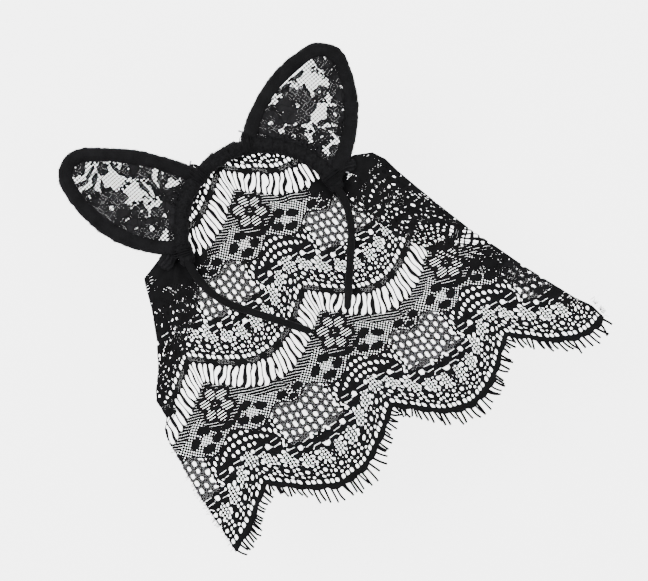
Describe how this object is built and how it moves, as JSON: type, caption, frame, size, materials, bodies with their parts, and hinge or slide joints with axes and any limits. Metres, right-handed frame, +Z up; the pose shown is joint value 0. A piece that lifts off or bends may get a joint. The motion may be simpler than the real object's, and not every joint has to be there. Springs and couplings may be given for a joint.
{
  "type": "animal ears headband",
  "caption": "Black cat-ear headband: springy horseshoe band, wired plush-edged lace ears on a wrapped crown, and a scalloped eyelash-lace veil gathered at the ears, lying flat.",
  "frame": {"origin": "centre of the crown arc, on the flat underside of the veil, which is the resting plane", "axes": "+Z up off the table, with the arch lying flat; +Y from the leg tips towards the crown; +X to the right as seen from above"},
  "size_m": [0.3329, 0.3343, 0.0127],
  "materials": {
    "band_core": "matte",
    "velvet": "short black velvet",
    "plush": "black plush",
    "wound_ribbon": "wound openwork ribbon",
    "thread": "lashing thread",
    "cord": "lace cord",
    "lace": "raschel lace",
    "ear_lace": "fine net with flowers",
    "wire": "steel wire"
  },
  "bodies": {
    "band": {"crown_core": "band_core", "crown_cover": "velvet", "crown_wrap": "wound_ribbon", "lash_left_outer": "thread", "lash_left_inner": "thread", "lash_right_inner": "thread", "lash_right_outer": "thread", "knot_left": "lace", "knot_right": "lace", "veil_yoke": "lace", "veil_gather_left": "lace", "veil_gather_right": "lace", "veil_tacks": "thread"},
    "leg_left": {"leg_left_core": "band_core", "leg_left_cover": "velvet", "leg_left_tip": "velvet"},
    "leg_right": {"leg_right_core": "band_core", "leg_right_cover": "velvet", "leg_right_tip": "velvet"},
    "ear_left": {"ear_left_wire": "wire", "ear_left_binding": "plush", "ear_left_lace_front": "ear_lace", "ear_left_lace_back": "ear_lace", "ear_left_base_tape": "lace"},
    "ear_right": {"ear_right_wire": "wire", "ear_right_binding": "plush", "ear_right_lace_front": "ear_lace", "ear_right_lace_back": "ear_lace", "ear_right_base_tape": "lace"},
    "veil": {"veil_skirt": "lace", "tier_cord": "cord", "hem_cord": "cord", "eyelash_fringe": "cord"}
  },
  "joints": [
    {"name": "leg_left_flex", "type": "hinge", "parent": "band", "child": "leg_left", "pos_m": [-0.06253, 0.00768, 0.0064], "axis": [0, 0, 1], "range_deg": [-20, 8], "stiffness_Nm_per_rad": 0.8},
    {"name": "leg_right_flex", "type": "hinge", "parent": "band", "child": "leg_right", "pos_m": [0.06291, -0.0033, 0.0064], "axis": [0, 0, 1], "range_deg": [-8, 20], "stiffness_Nm_per_rad": 0.8},
    {"name": "ear_left_tilt", "type": "hinge", "parent": "band", "child": "ear_left", "pos_m": [-0.04709, 0.04491, 0.0064], "axis": [0.6901, 0.7237, 0], "range_deg": [-25, 30]},
    {"name": "ear_right_tilt", "type": "hinge", "parent": "band", "child": "ear_right", "pos_m": [0.04917, 0.03756, 0.0064], "axis": [0.607, -0.7947, 0], "range_deg": [-25, 30]},
    {"name": "veil_lift", "type": "hinge", "parent": "band", "child": "veil", "pos_m": [0, 0.0115, 0], "axis": [0.9974, -0.0724, 0], "range_deg": [0, 150]}
  ]
}
